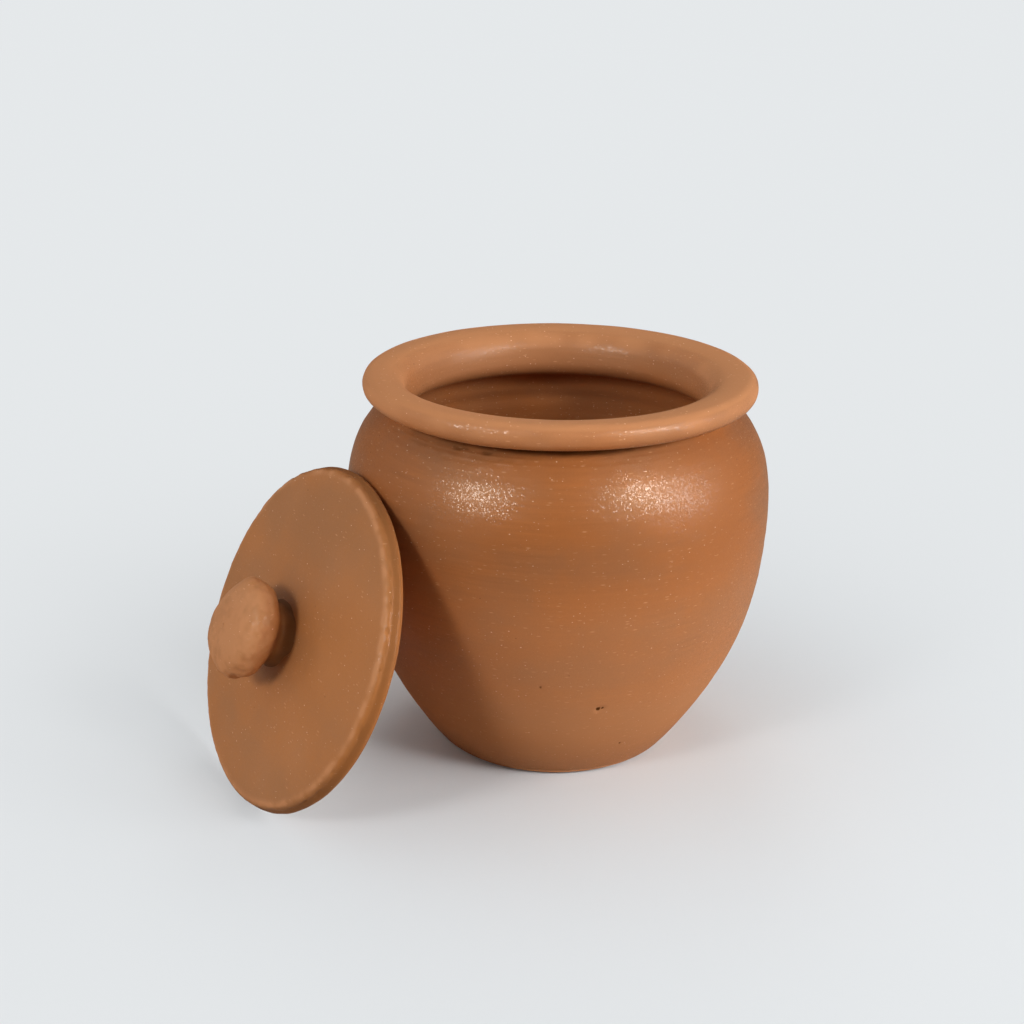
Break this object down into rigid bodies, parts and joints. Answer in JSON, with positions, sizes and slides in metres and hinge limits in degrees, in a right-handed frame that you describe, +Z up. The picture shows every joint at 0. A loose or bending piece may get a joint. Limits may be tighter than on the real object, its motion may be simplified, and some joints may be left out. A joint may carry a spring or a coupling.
{
  "type": "clay water pot",
  "caption": "Round-bellied unglazed clay water pot with a rolled, flared rim, and a loose flat disc lid with a mushroom knob leaning against its side.",
  "frame": {"origin": "centre of the pot's flat foot, on the floor", "axes": "+Z up along the pot's own axis; the viewer of the front stands at -Y and sees the leaning lid at the left, which is -X"},
  "size_m": [0.3065, 0.2627, 0.206],
  "materials": {
    "pot_clay": "unglazed, lightly burnished terracotta",
    "lid_clay": "unglazed, smoothed terracotta"
  },
  "bodies": {
    "pot": {"pot": "pot_clay"},
    "lid": {"lid_disc": "lid_clay", "lid_knob": "lid_clay"}
  },
  "joints": [
    {"name": "lid_lift", "type": "slide", "parent": "pot", "child": "lid", "axis": [-0.7713, -0.4895, 0.4067], "range_m": [0, 0.15]}
  ]
}
